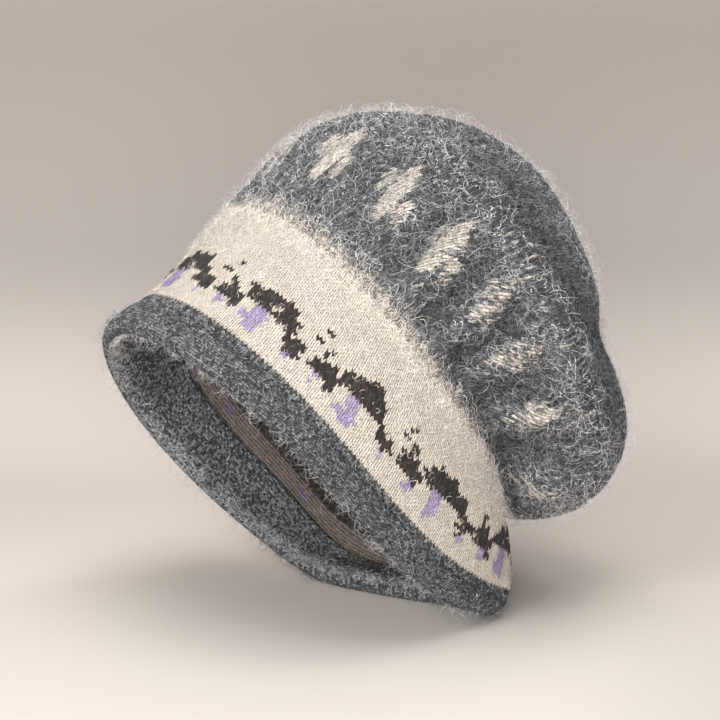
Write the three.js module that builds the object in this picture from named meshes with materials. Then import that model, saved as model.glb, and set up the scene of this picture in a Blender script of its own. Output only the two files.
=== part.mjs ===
// Slouchy knitted beanie, tipped back and resting on the flattened rear of its brim.
// Millimetres, +Z up, the floor at z = 0. The opening faces -X and down; the crown
// droops over the rear, towards +X.
//
// Everything is cut from one cloth surface S(turn, v):
//   turn  0 deg at the rear of the hat (towards +X), 90 at the far side (+Y),
//         180 at the front, 270 at the near side (-Y)
//   v     millimetres of fabric up from the bottom fold of the brim
// and a wall stands n millimetres off that surface, outward positive.
import * as THREE from 'three';

// ---- driving dimensions --------------------------------------------------------------
const BRIM_TOP = 18.75;       // v where the grey hem ends on the outside
const FACING_TOP = 31.0;      // v where the hem's inner facing ends, behind the band
const BAND_TOP = 69.7;        // v where the patterned band ends
const GAP = 0.3;              // clear gap between two pieces
const WALL_OUT = 2.7;         // outer face of the single knit wall, off the surface
const WALL_IN = -0.3;         // inner face of the single knit wall
const CROWN_IN = -0.1;        // inner face of the slightly thinner crown wall
const ORIGIN = { x: -1.4, y: -28.3 };  // moves the footprint's centre to the origin
const LEAN = { angle: 3 };    // degrees that the whole hat leans back, towards +Y, so it stands
const COLUMNS = 80;           // columns of faces round the hat
const REST_HALF = 2.7;        // clearance that the surface of the hem keeps over the floor
const REST_HALF_WALL = 1.6;   // the same for the single wall above it
const PRESS = 3.2;            // how far the weight presses the rear down before it stops
const PRESS_SOFT = 4.5;       // rounding of that stop
const PRESS_REACH = 18;       // height over which the pressing fades

// One row per ring of the surface. A ring is an ellipse about (cx, cy, cz):
//   tau    angle of its long axis below +X, in the XZ plane
//   beta   roll of its short axis out of Y
//   a, b   half length and half width
//   lift   how far its rear end is bent up off the ring plane, power how suddenly
//   pinch  narrowing of that rear end, skew its shift towards the near side
const RINGS = [
  { v: 0,   cx: -40.2, cy: 4.9,  cz: 49.5,  tau: 47.4, beta: 28.1, a: 99.1, b: 79.4, lift: 27.5, pinch: 0.62, power: 6.6, skew: 25 },
  { v: 19,  cx: -29.7, cy: 12.5, cz: 59.5,  tau: 51.0, beta: 28.0, a: 97.4,  b: 75.9, lift: 33.0, pinch: 0.46, power: 5.5, skew: 21 },
  { v: 45,  cx: -17.5, cy: 17,   cz: 82.0,  tau: 53.0, beta: 29.0, a: 89.9,  b: 72.4, lift: 27.0, pinch: 0.22, power: 4.5, skew: 12 },
  { v: 70,  cx: -11.5, cy: 21,   cz: 105.0, tau: 58.0, beta: 30.5, a: 80.4,  b: 71.4, lift: 22.0, pinch: 0.08, power: 4.0, skew: 12 },
  { v: 78,  cx: -5.0,  cy: 23.5, cz: 112.3, tau: 56.8, beta: 30.3, a: 80.4,  b: 72.2, lift: 17.0, pinch: 0.03, power: 4.0, skew: 7 },
  { v: 88,  cx: 6.5,   cy: 26.5, cz: 116.4, tau: 55.0, beta: 30.0, a: 84.9,  b: 74.7, lift: 7.0,  pinch: 0,    power: 4.0, skew: 3 },
  { v: 108, cx: 20.9,  cy: 31,   cz: 119.3, tau: 58.2, beta: 30.0, a: 94.5,  b: 78.4, lift: 0,    pinch: 0,    power: 4.0, skew: 0 },
  { v: 130, cx: 35.7,  cy: 36,   cz: 122.8, tau: 61.5, beta: 29.5, a: 98.3, b: 78.9, lift: 0,    pinch: 0,    power: 4.0, skew: 0 },
  { v: 150, cx: 51.7,  cy: 40,   cz: 126.1, tau: 62.9, beta: 29.0, a: 95.1,  b: 75.9, lift: 0,    pinch: 0,    power: 4.0, skew: 0 },
  { v: 163, cx: 61.8,  cy: 43,   cz: 128.8, tau: 62.9, beta: 28.0, a: 88.7,  b: 69.4, lift: 0,    pinch: 0,    power: 4.0, skew: 0 },
  { v: 176, cx: 70.7,  cy: 45,   cz: 131.5, tau: 63.3, beta: 27.0, a: 78.3,  b: 59.4, lift: 0,    pinch: 0,    power: 4.0, skew: 0 },
  { v: 198, cx: 82.6,  cy: 47,   cz: 131.0, tau: 66.1, beta: 26.0, a: 56.4,  b: 41.4, lift: 0,    pinch: 0,    power: 4.0, skew: 0 },
  { v: 222, cx: 89.6,  cy: 48,   cz: 128.0, tau: 68.0, beta: 25.0, a: 31.5,  b: 23.0, lift: 0,    pinch: 0,    power: 4.0, skew: 0 },
  { v: 244, cx: 91.6,  cy: 48,   cz: 126.4, tau: 68.0, beta: 25.0, a: 7.0,   b: 5.4,  lift: 0,    pinch: 0,    power: 4.0, skew: 0 },
];
const APEX_V = 250;           // v of the gathered centre of the crown

// Soft swells (+) and dents (-) of the slouching cloth, along the outward normal.
const SWELLS = [
  { name: 'front swell of the dome', turn: 208, v: 190, turns: 46, spread: 28, height: 8.0 },
  { name: 'crease between the lobes', turn: 292, v: 182, turns: 15, spread: 26, height: -6.5 },
  { name: 'valley past the crest',    turn: 268, v: 163, turns: 44, spread: 8,  height: -3.2 },
  { name: 'crest ridge',              turn: 270, v: 147, turns: 50, spread: 8,  height: 1.8 },
  { name: 'rear lobe',                turn: 330, v: 160, turns: 22, spread: 22, height: 0.8 },
  { name: 'far hollow',               turn: 80,  v: 170, turns: 24, spread: 22, height: -5.0 },
  { name: 'far swell',                turn: 120, v: 180, turns: 26, spread: 26, height: 4.0 },
  { name: 'gathered centre',     turn: 0,     v: 250, turns: 900, spread: 12, height: -5.0 },
];
// Upright pleats where the wide crown is drawn in at the band.
const PLEATS = { count: 13, phase: 8, height: 1.7, from: 71, full: 88, to: 140, turn: 285, turns: 85, base: 0.25 };
// The hidden rear of the band and brim, splayed flat under the weight of the hat.
const SETTLE = { depth: 13, turn: 44, turns: 32, v: 35, spread: 23 };

// Cross-section of the hem, a closed loop of [v, n]: outside leg with its rolled
// lower part, bottom fold, inner facing, and the step that takes the band's edge.
const HEM_LOOP = [
  [BRIM_TOP, WALL_OUT], [17.0, 2.3], [15.4, 2.5], [13.8, 3.4], [10.6, 3.9], [6.8, 4.0],
  [3.4, 3.5], [1.2, 2.3], [0.1, 0.5], [0.2, -1.2], [1.4, -2.5], [4.0, -3.2],
  [9.0, -3.5], [15.0, -3.4], [20.5, -3.2], [26.0, -3.0], [30.2, -2.8], [FACING_TOP, -1.9],
  [30.2, -0.9], [24.5, -0.9], [BRIM_TOP, -1.25],
];
const BAND_OUTER_ROWS = [19.5, 24, 29.5, 35, 40.5, 46, 52, 58, 64, 69.7];
const BAND_INNER_ROWS = [69.7, 61, 52, 44, 37, 31, 25, 19.5];
const CROWN_OUTER_ROWS = [70.1, 75, 81, 88, 96, 105, 115, 125, 135, 143, 149, 155, 162, 170, 180, 192, 206, 220, 233, 243];
const CROWN_INNER_ROWS = [233, 214, 194, 178, 164, 154, 144, 130, 114, 98, 88, 79, 70.1];

// ---- the cloth surface ---------------------------------------------------------------
const RAD = Math.PI / 180;
const KEYS = Object.keys(RINGS[0]).filter((k) => k !== 'v');

// Every ring value at v, by a smooth cubic through the rows of the table.
function ringAt(v) {
  const last = RINGS.length - 1;
  let k = 0;
  while (k < last - 1 && v > RINGS[k + 1].v) k += 1;
  const r0 = RINGS[k], r1 = RINGS[k + 1], h = r1.v - r0.v, t = (v - r0.v) / h;
  const before = RINGS[Math.max(k - 1, 0)], after = RINGS[Math.min(k + 2, last)];
  const out = {};
  for (const key of KEYS) {
    const m0 = (r1[key] - before[key]) / (r1.v - before.v);
    const m1 = (after[key] - r0[key]) / (after.v - r0.v);
    if (t < 0) { out[key] = r0[key] + (v - r0.v) * m0; continue; }
    if (t > 1) { out[key] = r1[key] + (v - r1.v) * m1; continue; }
    out[key] = (2 * t ** 3 - 3 * t ** 2 + 1) * r0[key] + (t ** 3 - 2 * t ** 2 + t) * h * m0
             + (3 * t ** 2 - 2 * t ** 3) * r1[key] + (t ** 3 - t ** 2) * h * m1;
  }
  return out;
}

const smooth = (x) => { const t = Math.min(1, Math.max(0, x)); return t * t * (3 - 2 * t); };
const turnGap = (a, b) => ((a - b + 540) % 360) - 180;

// The resting height: pressed down near the floor and never closer to it than half.
function restHeight(z, half) {
  const over = z - half;
  const q = over - PRESS;
  const kept = half + 0.5 * (q + Math.sqrt(q * q + PRESS_SOFT * PRESS_SOFT))
    + PRESS * (1 - Math.exp(-Math.max(over, 0) / PRESS_REACH));
  return Math.max(kept, half);
}

// A point of the smooth surface before swells and rest.
function ringPoint(turn, v) {
  const r = ringAt(v);
  const tau = r.tau * RAD, beta = r.beta * RAD, th = turn * RAD;
  const w = (1 + Math.cos(th)) / 2;
  const along = r.a * Math.cos(th);
  const across = r.b * Math.sin(th) * (1 - r.pinch * w * w) - r.skew * w * w;
  const up = r.lift * Math.pow(w, r.power);
  const ct = Math.cos(tau), st = Math.sin(tau), cb = Math.cos(beta), sb = Math.sin(beta);
  return new THREE.Vector3(
    r.cx + along * ct + across * (-sb * st) + up * (cb * st),
    r.cy + across * cb + up * sb,
    r.cz - along * st + across * (-sb * ct) + up * (cb * ct));
}

function normalOf(fn, turn, v) {
  const e = 0.6;
  const dt = fn(turn + e, v).sub(fn(turn - e, v));
  const dv = fn(turn, v + e).sub(fn(turn, v - e));
  return dt.cross(dv).normalize();
}

// How far the soft shape stands off the smooth rings.
function swell(turn, v) {
  let h = 0;
  for (const s of SWELLS) {
    const a = s.turns > 360 ? 0 : turnGap(turn, s.turn) / s.turns, b = (v - s.v) / s.spread;
    h += s.height * Math.exp(-a * a - b * b);
  }
  const p = PLEATS, side = turnGap(turn, p.turn) / p.turns;
  const reach = smooth((v - p.from) / (p.full - p.from)) * (1 - smooth((v - p.full) / (p.to - p.full)));
  h += p.height * reach * (p.base + (1 - p.base) * Math.exp(-side * side))
    * Math.cos(p.count * (turn - p.phase) * RAD);
  return h;
}

function settle(turn, v) {
  const a = turnGap(turn, SETTLE.turn) / SETTLE.turns, b = (v - SETTLE.v) / SETTLE.spread;
  return SETTLE.depth * Math.exp(-(a ** 4) - b * b);
}

function surface(turn, v) {
  const p = ringPoint(turn, v);
  p.addScaledVector(normalOf(ringPoint, turn, v), swell(turn, v));
  p.applyAxisAngle(new THREE.Vector3(1, 0, 0), -LEAN.angle * RAD);
  const half = REST_HALF + (REST_HALF_WALL - REST_HALF) * smooth((v - BRIM_TOP + 3) / 12);
  p.z = restHeight(p.z - settle(turn, v), half);
  p.x += ORIGIN.x;
  p.y += ORIGIN.y;
  return p;
}

// A point n off the surface, kept above the floor.
function wallPoint(turn, v, n) {
  const p = surface(turn, v).addScaledVector(normalOf(surface, turn, v), n);
  p.z = Math.max(p.z, 0);
  return p;
}

// ---- bodies --------------------------------------------------------------------------
// Columns stand closer together at the narrow rear end.
const TURNS = Array.from({ length: COLUMNS }, (_, i) => {
  const t = (i / COLUMNS) * 2 * Math.PI;
  return (t - 0.32 * Math.sin(t)) / RAD;
});

function meshOf(name, points, faces, colour, roughness) {
  const geometry = new THREE.BufferGeometry();
  geometry.setAttribute('position', new THREE.Float32BufferAttribute(points.flatMap((p) => [p.x, p.y, p.z]), 3));
  geometry.setIndex(faces.flat());
  geometry.computeVertexNormals();
  const mesh = new THREE.Mesh(geometry, new THREE.MeshStandardMaterial({ color: colour, roughness, metalness: 0 }));
  mesh.name = name;
  return mesh;
}

// Faces between two neighbouring rings of points.
function skin(faces, lower, upper) {
  for (let i = 0; i < COLUMNS; i += 1) {
    const j = (i + 1) % COLUMNS;
    faces.push([lower + i, lower + j, upper + j], [lower + i, upper + j, upper + i]);
  }
}

// A closed ring of wall: the loop of [v, n] carried round the hat.
function loopBody(name, loop, colour, roughness) {
  const points = loop.flatMap(([v, n]) => TURNS.map((t) => wallPoint(t, v, n)));
  const faces = [];
  loop.forEach((_, k) => skin(faces, ((k + 1) % loop.length) * COLUMNS, k * COLUMNS));
  return meshOf(name, points, faces, colour, roughness);
}

// A cup: the loop runs up the outside to one point and down the inside from another.
function cupBody(name, outer, inner, apexV, nOut, nIn, colour, roughness) {
  const points = [];
  for (const v of outer) for (const t of TURNS) points.push(wallPoint(t, v, nOut));
  for (const v of inner) for (const t of TURNS) points.push(wallPoint(t, v, nIn));
  const centre = (v, n) => TURNS.reduce((sum, t) => sum.add(wallPoint(t, v, n)), new THREE.Vector3())
    .multiplyScalar(1 / COLUMNS);
  const top = points.push(centre(apexV - 3, nOut)) - 1;
  const under = points.push(centre(apexV - 3, nIn)) - 1;
  const faces = [];
  for (let k = 0; k + 1 < outer.length; k += 1) skin(faces, k * COLUMNS, (k + 1) * COLUMNS);
  const first = outer.length;
  for (let k = 0; k + 1 < inner.length; k += 1) skin(faces, (first + k) * COLUMNS, (first + k + 1) * COLUMNS);
  skin(faces, (first + inner.length - 1) * COLUMNS, 0);
  for (let i = 0; i < COLUMNS; i += 1) {
    const j = (i + 1) % COLUMNS;
    faces.push([(first - 1) * COLUMNS + i, (first - 1) * COLUMNS + j, top]);
    faces.push([first * COLUMNS + j, first * COLUMNS + i, under]);
  }
  return meshOf(name, points, faces, colour, roughness);
}

const bandLoop = [
  ...BAND_OUTER_ROWS.map((v) => [v, WALL_OUT]),
  ...BAND_INNER_ROWS.map((v) => [v, WALL_IN]),
].reverse();

const beanie = new THREE.Group();
beanie.name = 'beanie';
beanie.add(loopBody('brim_hem', HEM_LOOP, 0x6f7072, 0.95));
beanie.add(loopBody('pattern_band', bandLoop, 0xe8dccb, 0.95));
beanie.add(cupBody('slouch_crown', CROWN_OUTER_ROWS, CROWN_INNER_ROWS, APEX_V, WALL_OUT, CROWN_IN, 0x77787a, 0.95));

export default beanie;
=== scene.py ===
"""Slouchy knitted beanie with a rolled hem, a patterned band and a fuzzy drooping crown.

The cloth is one surface S(turn, v): turn in degrees round the hat, 0 at the rear (+X),
90 on the far side (+Y), 180 at the raised front and 270 on the near side; v is the
millimetres of fabric up from the bottom fold. A wall stands n millimetres off it.
Every shell and every loose fibre is worked out on that surface, in millimetres, and
put into its mesh in metres.
"""
import math

import bpy
import numpy as np
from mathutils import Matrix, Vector


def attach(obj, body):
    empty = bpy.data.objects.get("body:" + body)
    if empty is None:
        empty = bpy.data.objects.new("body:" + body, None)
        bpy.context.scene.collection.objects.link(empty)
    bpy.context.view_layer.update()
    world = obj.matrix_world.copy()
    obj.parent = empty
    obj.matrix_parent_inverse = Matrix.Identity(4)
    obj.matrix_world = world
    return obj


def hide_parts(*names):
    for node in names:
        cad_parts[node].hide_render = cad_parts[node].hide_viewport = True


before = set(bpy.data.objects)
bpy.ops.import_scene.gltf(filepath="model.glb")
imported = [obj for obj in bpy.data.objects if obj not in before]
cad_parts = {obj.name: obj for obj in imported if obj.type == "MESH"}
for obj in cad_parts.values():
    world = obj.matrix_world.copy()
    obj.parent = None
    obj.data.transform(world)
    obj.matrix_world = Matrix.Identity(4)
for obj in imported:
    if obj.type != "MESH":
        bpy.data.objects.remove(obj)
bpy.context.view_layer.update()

MM = 0.001

# The cloth surface

# The rings, the lean, the rest on the floor and the broad swells are those of the solids.
# FOLDS and PUCKERS go deeper than the solids' folds, and the even pleats are lower.
ORIGIN = (-1.4, -28.3)
LEAN = 3.0                                      # degrees that the whole hat leans back
KNIT_CLEARANCE, FIBRE_CLEARANCE = 0.05, 0.1     # lowest height of knit and of fibres
REST_HALF, REST_HALF_WALL = 2.7, 1.6            # half the cloth's thickness at the hem, above
PRESS, PRESS_SOFT, PRESS_REACH = 3.2, 4.5, 18.0
BRIM_TOP = 18.75                                # v where the hem ends
WALL_OUT = 2.7                                  # outer skin of band and crown, off the cloth
BAND_IN, CROWN_IN = -0.3, -0.1                  # their inner skins
# The rings were worked out from the hat's outline and edges in the photograph, by a fit
# and from the rings' ends, and then trimmed.
RING_KEYS = ("cx", "cy", "cz", "tau", "beta", "a", "b", "lift", "pinch", "power", "skew")
RINGS = np.array([  # v, then the keys above
    (0, -40.2, 4.9, 49.5, 47.4, 28.1, 99.1, 79.4, 27.5, 0.62, 6.6, 25),
    (19, -29.7, 12.5, 59.5, 51.0, 28.0, 97.4, 75.9, 33.0, 0.46, 5.5, 21),
    (45, -17.5, 17, 82.0, 53.0, 29.0, 89.9, 72.4, 27.0, 0.22, 4.5, 12),
    (70, -11.5, 21, 105.0, 58.0, 30.5, 80.4, 71.4, 22.0, 0.08, 4.0, 12),
    (78, -5.0, 23.5, 112.3, 56.8, 30.3, 80.4, 72.2, 17.0, 0.03, 4.0, 7),
    (88, 6.5, 26.5, 116.4, 55.0, 30.0, 84.9, 74.7, 7.0, 0, 4.0, 3),
    (108, 20.9, 31, 119.3, 58.2, 30.0, 94.5, 78.4, 0, 0, 4.0, 0),
    (130, 35.7, 36, 122.8, 61.5, 29.5, 98.3, 78.9, 0, 0, 4.0, 0),
    (150, 51.7, 40, 126.1, 62.9, 29.0, 95.1, 75.9, 0, 0, 4.0, 0),
    (163, 61.8, 43, 128.8, 62.9, 28.0, 88.7, 69.4, 0, 0, 4.0, 0),
    (176, 70.7, 45, 131.5, 63.3, 27.0, 78.3, 59.4, 0, 0, 4.0, 0),
    (198, 82.6, 47, 131.0, 66.1, 26.0, 56.4, 41.4, 0, 0, 4.0, 0),
    (222, 89.6, 48, 128.0, 68.0, 25.0, 31.5, 23.0, 0, 0, 4.0, 0),
    (244, 91.6, 48, 126.4, 68.0, 25.0, 7.0, 5.4, 0, 0, 4.0, 0),
])
SWELLS = [  # turn, v, turns, spread, height
    (208, 190, 46, 28, 8.0),     # front swell of the dome
    (330, 160, 22, 22, 0.8),     # rear lobe
    (80, 170, 24, 22, -5.0),     # far hollow
    (120, 180, 26, 26, 4.0),     # far swell
]
FOLDS = [  # turn, v, turns, spread, height
    (292, 182, 15, 26, -11.0),   # crease between the lobes
    (270, 155, 42, 9, -11.0),    # valley past the crest
    (262, 171, 36, 13, -5.0),    # and its shallow far side
    (268, 138, 44, 5, 6.5),      # crest ridge
    (318, 78, 34, 7, -5.0),      # undercut where the drooping crown meets the band
]
GATHER_V, GATHER_SPREAD, GATHER_HEIGHT = 250, 12, -5.0     # the gathered centre
PLEAT_COUNT, PLEAT_PHASE, PLEAT_HEIGHT = 13, 8, 0.5
PLEAT_FROM, PLEAT_FULL, PLEAT_SPAN = 71, 17, 52            # v where they start, rise, fall
PLAIN_TURN, PLAIN_TURNS, PLAIN_FADE = 280, 40, 30          # the puckers' side has no pleats
PUCKERS = [  # turn at the foot, turns, height
    (242, 6.5, 3.5),
    (258, 6, 6.0),
    (273.5, 5.5, 9.0),
    (288.5, 5.5, 10.0),
    (306, 6.5, 10.0),
    (337, 9, 8.0),
]
PUCKER_LEAN, PUCKER_FOOT = 0.26, 90   # degrees that a pucker leans back for each mm past its foot
PUCKER_FROM, PUCKER_RISE, PUCKER_TO, PUCKER_FALL = 71, 12, 104, 34
PUCKER_DIP = 0.7                      # depth of the dips beside a pucker, as a share of it
# Painted shade and highlight from the folds: the colour factor for each mm of fold, and its lowest
# and highest values.
FOLD_SHADING_PER_MM, FOLD_SHADE_LOWEST, FOLD_HIGHLIGHT_HIGHEST = 0.12, 0.34, 1.3
SETTLE_DEPTH, SETTLE_TURN, SETTLE_TURNS = 13, 44, 32       # the rear splayed on the floor
SETTLE_V, SETTLE_SPREAD = 35, 23


def ring_table():
    """Ring values every quarter millimetre of v: a cubic through the rows of RINGS whose
    slope at a row is the rise between its two neighbours over their distance."""
    rows, last = RINGS[:, 0], len(RINGS) - 1
    v = np.arange(-4, 256, 0.25)
    k = np.clip(np.searchsorted(rows, v, side="left") - 1, 0, last - 1)
    before, after = np.maximum(k - 1, 0), np.minimum(k + 2, last)
    h = rows[k + 1] - rows[k]
    t = ((v - rows[k]) / h)[:, None]
    low, high = RINGS[k, 1:], RINGS[k + 1, 1:]
    m0 = (high - RINGS[before, 1:]) / (rows[k + 1] - rows[before])[:, None]
    m1 = (RINGS[after, 1:] - low) / (rows[after] - rows[k])[:, None]
    h = h[:, None]
    curve = ((2 * t**3 - 3 * t**2 + 1) * low + (t**3 - 2 * t**2 + t) * h * m0
             + (3 * t**2 - 2 * t**3) * high + (t**3 - t**2) * h * m1)
    curve = np.where(t < 0, low + t * h * m0, curve)
    return v, np.where(t > 1, high + (t - 1) * h * m1, curve)


TABLE_V, TABLE = ring_table()


def smooth(x):
    """Smooth step: 3x squared less 2x cubed, with x held between 0 and 1."""
    x = np.clip(x, 0, 1)
    return x * x * (3 - 2 * x)


def turn_gap(a, b):
    """Signed difference of two turns, between -180 and 180."""
    return (a - b + 540) % 360 - 180


def unit(vectors):
    """The vectors, each divided by its length."""
    return vectors / np.maximum(np.linalg.norm(vectors, axis=-1, keepdims=True), 1e-9)


def ring_point(turn, v):
    """Ellipse point: centre + a cos(turn) along the tilted long axis + b sin(turn) along the
    rolled short axis, narrowed and skewed at the rear, and its rear end bent up by lift."""
    cx, cy, cz, tau, beta, a, b, lift, pinch, power, skew = (
        np.interp(v, TABLE_V, TABLE[:, i]) for i in range(len(RING_KEYS)))
    tau, beta, th = np.radians(tau), np.radians(beta), np.radians(turn)
    w = (1 + np.cos(th)) / 2
    along = a * np.cos(th)
    across = b * np.sin(th) * (1 - pinch * w * w) - skew * w * w
    up = lift * w**power
    ct, st, cb, sb = np.cos(tau), np.sin(tau), np.cos(beta), np.sin(beta)
    return np.stack([cx + along * ct - across * sb * st + up * cb * st,
                     cy + across * cb + up * sb,
                     cz - along * st - across * sb * ct + up * cb * ct], -1)


def normal_of(shape, turn, v, step=0.6):
    """Outward normal: the cross product of the surface's two central differences."""
    return unit(np.cross(shape(turn + step, v) - shape(turn - step, v),
                         shape(turn, v + step) - shape(turn, v - step)))


def with_bumps(h, bumps, turn, v):
    """h + the sum of soft bumps: height x exp(-(turn part)^2 - (v part)^2)."""
    for at, v0, turns, spread, height in bumps:
        h = h + height * np.exp(-(turn_gap(turn, at) / turns)**2 - ((v - v0) / spread)**2)
    return h


def folds(turn, v):
    """Height of the sharp folds: the soft bumps FOLDS, and the puckers where the crown is
    drawn in, each a ridge exp(-gap^2) less a wider dip exp(-(gap / 2)^4)."""
    h = with_bumps(0.0 * (turn + v), FOLDS, turn, v)
    reach = (smooth((v - PUCKER_FROM) / PUCKER_RISE)
             * (1 - smooth((v - PUCKER_TO) / PUCKER_FALL)))
    for at, turns, height in PUCKERS:
        gap = turn_gap(turn, at - PUCKER_LEAN * (v - PUCKER_FOOT)) / turns
        h = h + height * reach * (np.exp(-gap**2) - PUCKER_DIP * np.exp(-(gap / 2)**4))
    return h


def swell(turn, v):
    """Height off the rings: the folds, broad soft bumps, and low upright pleats, a cosine of
    the turn that fades in above the band and out again."""
    h = folds(turn, v) + GATHER_HEIGHT * np.exp(-((v - GATHER_V) / GATHER_SPREAD)**2)
    h = with_bumps(h, SWELLS, turn, v)
    full = PLEAT_FROM + PLEAT_FULL
    reach = smooth((v - PLEAT_FROM) / PLEAT_FULL) * (1 - smooth((v - full) / PLEAT_SPAN))
    far = smooth((np.abs(turn_gap(turn, PLAIN_TURN)) - PLAIN_TURNS) / PLAIN_FADE)
    pleats = PLEAT_HEIGHT * reach * far
    return h + pleats * np.cos(np.radians(PLEAT_COUNT * (turn - PLEAT_PHASE)))


def painted_fold_shading(turn, v):
    """Painted shade and highlight: the knit's colour is darker down in its folds and paler on
    their ridges, a factor of 1 plus a fixed share for each millimetre of fold, held between two
    limits."""
    return np.clip(1 + FOLD_SHADING_PER_MM * folds(turn, v), FOLD_SHADE_LOWEST, FOLD_HIGHLIGHT_HIGHEST)


def cloth(turn, v):
    """The cloth surface: ring point + swell along its normal, leaned back as a whole, then
    pressed up where it would sink: height = half + soft maximum of (over - PRESS) and 0."""
    turn, v = np.broadcast_arrays(np.asarray(turn, float), np.asarray(v, float))
    p = ring_point(turn, v) + normal_of(ring_point, turn, v) * swell(turn, v)[..., None]
    c, s = math.cos(math.radians(LEAN)), math.sin(math.radians(LEAN))
    y, z = p[..., 1] * c + p[..., 2] * s, p[..., 2] * c - p[..., 1] * s
    settle = SETTLE_DEPTH * np.exp(-(turn_gap(turn, SETTLE_TURN) / SETTLE_TURNS)**4
                                   - ((v - SETTLE_V) / SETTLE_SPREAD)**2)
    half = REST_HALF + (REST_HALF_WALL - REST_HALF) * smooth((v - BRIM_TOP + 3) / 12)
    over = z - settle - half
    q = over - PRESS
    z = np.maximum(half + 0.5 * (q + np.sqrt(q * q + PRESS_SOFT**2))
                   + PRESS * (1 - np.exp(-np.maximum(over, 0) / PRESS_REACH)), half)
    return np.stack([p[..., 0] + ORIGIN[0], y + ORIGIN[1], z], -1)


def wall(turn, v, n):
    """A point n millimetres off the cloth, kept above the floor."""
    turn, v, n = np.broadcast_arrays(*(np.asarray(x, float) for x in (turn, v, n)))
    p = cloth(turn, v) + normal_of(cloth, turn, v) * n[..., None]
    p[..., 2] = np.maximum(p[..., 2], KNIT_CLEARANCE)
    return p


# Knitting gauge
WALES = 240          # columns of stitches round the hat, two legs each
ROW = 1.64           # height of a stitch
BAND_FROM = 19.1     # v of the first cream row
BAND_ROWS = 31
BAND_TO = BAND_FROM + BAND_ROWS * ROW
TOOTH = 0.9          # how far a leg climbs from the middle of its stitch, in rows
WALE_SHIFT = 0.48    # columns from the rear to the first one, so the charts lie as in the photo
ARC_V = 45.0         # v of the ring along which the columns are evenly spaced

ARC_TURNS = np.linspace(0, 360, 1441)
_arc = cloth(ARC_TURNS, np.full(len(ARC_TURNS), ARC_V))
ARC = np.concatenate([[0], np.cumsum(np.linalg.norm(np.diff(_arc, axis=0), axis=1))])
ARC = ARC / ARC[-1] * WALES


def turn_of(u):
    """Turn of a column of stitches u: columns are evenly spaced along the middle of the band."""
    u = np.asarray(u, float) + WALE_SHIFT
    return np.interp(np.mod(u, WALES), ARC, ARC_TURNS) + 360 * np.floor(u / WALES)


def zigzag(u):
    """Half a row up at the sides of a stitch and half a row down in its middle, so a row of
    faces follows the legs of the stitches."""
    return TOOTH * (2 * np.abs(np.mod(u, 1) - 0.5) - 0.5)


def linear(*rgb):
    """An sRGB colour, 0 to 255, as linear values."""
    c = np.array(rgb, float) / 255
    return np.where(c <= 0.04045, c / 12.92, ((c + 0.055) / 1.055)**2.4)


CREAM = linear(252, 241, 226)
# The cream yarn inside the hat, darkened as painted shade.
CREAM_INSIDE_PAINTED_SHADE = linear(150, 137, 125)
DARK_BROWN = linear(44, 33, 30)
LILAC = linear(186, 164, 214)
GREY = linear(50, 52, 57)
GREY_DEEP = linear(54, 56, 60)
MOTIF_CREAM = linear(246, 237, 224)

# The band's colourwork, one string for each 2.3 mm from the top (line 11) down to line 2, and
# one letter for each 1.6 columns of stitches. D is dark brown, L lilac, a dot cream.
CHARTS = [
    ["....DD.....D...",
     "..DDDD.........",
     ".DDDDDD...D.D..",
     "DDDDDDD.....D..",
     "DDDDDDD....DDD.",
     "..LL...DDD.DDDD",
     "..LL...DDD.DDDD",
     "..LL....D....LD",
     ".LLL....L....L.",
     "..LL..........."],
    ["...........D...",
     "..DDDDD........",
     "DDDDDDD...D.D..",
     "DDDD.DDD....D..",
     "DDDDDDDD....DD.",
     "..LL...DDD.DDDD",
     "..LL...DDD.DDDD",
     ".LLL....DD..L.D",
     ".LLL....L...L..",
     "..LL..........."],
    ["...............",
     "..DDDD......D..",
     ".DDDDDDD....D..",
     "DDDDDDDD....DD.",
     "DDDDDDDDD..DDD.",
     "..LL....DDDDDDD",
     "..LL...DDD.DDDD",
     "..LL....D....LD",
     "..LL....L....L.",
     "..L............"],
]
CHART_TOP, CHART_START = 11, 3
CHART_LINE, CHART_COLUMN = 2.3, 1.6            # mm a string, columns of stitches a letter
CHART_ORDER = (1, 0, 2, 1, 0, 1, 1, 0, 2, 0)   # which chart each of the ten repeats uses
LINES, LETTERS = len(CHARTS[0]), len(CHARTS[0][0])
YARNS = {".": CREAM, "D": DARK_BROWN, "L": LILAC}
FLOATS = (13, 19)                              # rows of the reverse that the dark strands cross


def band_colours(wale, row, stray=0.0):
    """Yarn colour of each stitch: its letter in the chart of its repeat, looked up from a place
    that may stray by part of a letter, so the edges come out uneven."""
    flat = np.array([[list(line) for line in chart] for chart in CHARTS])
    column = np.floor((wale + 0.5) / CHART_COLUMN - CHART_START + stray).astype(int)
    column = np.mod(column, LETTERS * len(CHART_ORDER))
    chart = np.array(CHART_ORDER)[column // LETTERS]
    line = CHART_TOP - np.floor((row + 0.5) * ROW / CHART_LINE + stray).astype(int)
    letters = np.where((line >= 0) & (line < LINES),
                       flat[chart, np.clip(line, 0, LINES - 1), column % LETTERS], ".")
    colours = np.empty(wale.shape + (3,))
    for letter, yarn in YARNS.items():
        colours[letters == letter] = yarn
    return colours


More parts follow.
